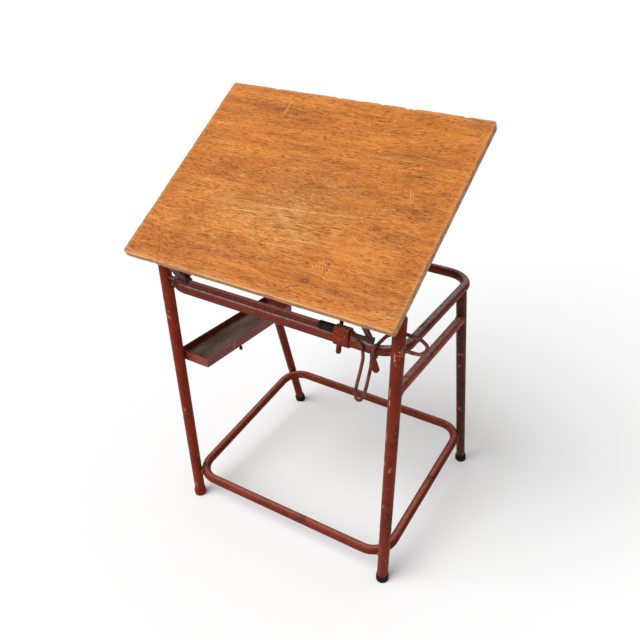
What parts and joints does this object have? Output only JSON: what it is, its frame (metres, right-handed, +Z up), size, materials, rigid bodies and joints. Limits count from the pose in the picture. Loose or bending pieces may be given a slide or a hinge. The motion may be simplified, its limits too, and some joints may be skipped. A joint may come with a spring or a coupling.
{
  "type": "portable drawing board",
  "caption": "Tilting wooden drawing board on a four-legged tubular steel stand with looped rails, a side tray and a bent-wire tilt release.",
  "frame": {"origin": "on the floor, at the middle of the whole footprint: midway between the legs in X, and midway between the board's front edge and the back feet in Y", "axes": "+Z up, -Y towards the user at the front, +X to the user's right; the tilt axis is parallel to X"},
  "size_m": [0.7355, 0.6251, 1.0791],
  "materials": {
    "oxide_paint": "worn red-oxide brush paint with chips and weld spatter",
    "dark_iron": "dark worn paint over iron",
    "worn_steel": "dull bare steel",
    "board_wood": "worn varnished softwood with scratches, stains and grey wear",
    "rubber": "matt black rubber",
    "black_plastic": "matt black"
  },
  "bodies": {
    "stand": {"leg_front_left": "oxide_paint", "leg_front_right": "oxide_paint", "leg_back_left": "oxide_paint", "leg_back_right": "oxide_paint", "foot_front_left": "rubber", "foot_front_right": "rubber", "foot_back_left": "rubber", "foot_back_right": "rubber", "plug_left": "oxide_paint", "plug_right": "oxide_paint", "upper_loop_front": "oxide_paint", "upper_loop_back": "oxide_paint", "lower_loop_front": "oxide_paint", "lower_loop_back": "oxide_paint", "side_rail_right": "oxide_paint", "tray": "oxide_paint", "tray_knob": "rubber", "pivot_pin_left": "worn_steel", "bearing_sleeve": "black_plastic", "brake_block": "oxide_paint", "peg_bracket": "oxide_paint", "stop_peg": "oxide_paint", "peg_washer": "worn_steel", "lever_lug": "oxide_paint", "lever_pin": "worn_steel"},
    "tilting_board": {"board": "board_wood", "tilt_tube": "oxide_paint", "tilt_shaft": "dark_iron", "arm_left": "dark_iron", "arm_right": "dark_iron", "rear_crossbar": "dark_iron", "board_screws": "worn_steel"},
    "release_wire": {"release_wire": "dark_iron"},
    "paddle_lever": {"paddle_lever": "oxide_paint"}
  },
  "joints": [
    {"name": "board_tilt", "type": "hinge", "parent": "stand", "child": "tilting_board", "pos_m": [0, -0.2495, 0.7194], "axis": [1, 0, 0], "range_deg": [-32.4, 43]},
    {"name": "wire_release", "type": "hinge", "parent": "stand", "child": "release_wire", "pos_m": [0, -0.2495, 0.7194], "axis": [1, 0, 0], "range_deg": [-15, 0]},
    {"name": "paddle_swing", "type": "hinge", "parent": "stand", "child": "paddle_lever", "pos_m": [0.2535, -0.244, 0.68], "axis": [1, 0, 0], "range_deg": [-12, 12]}
  ]
}
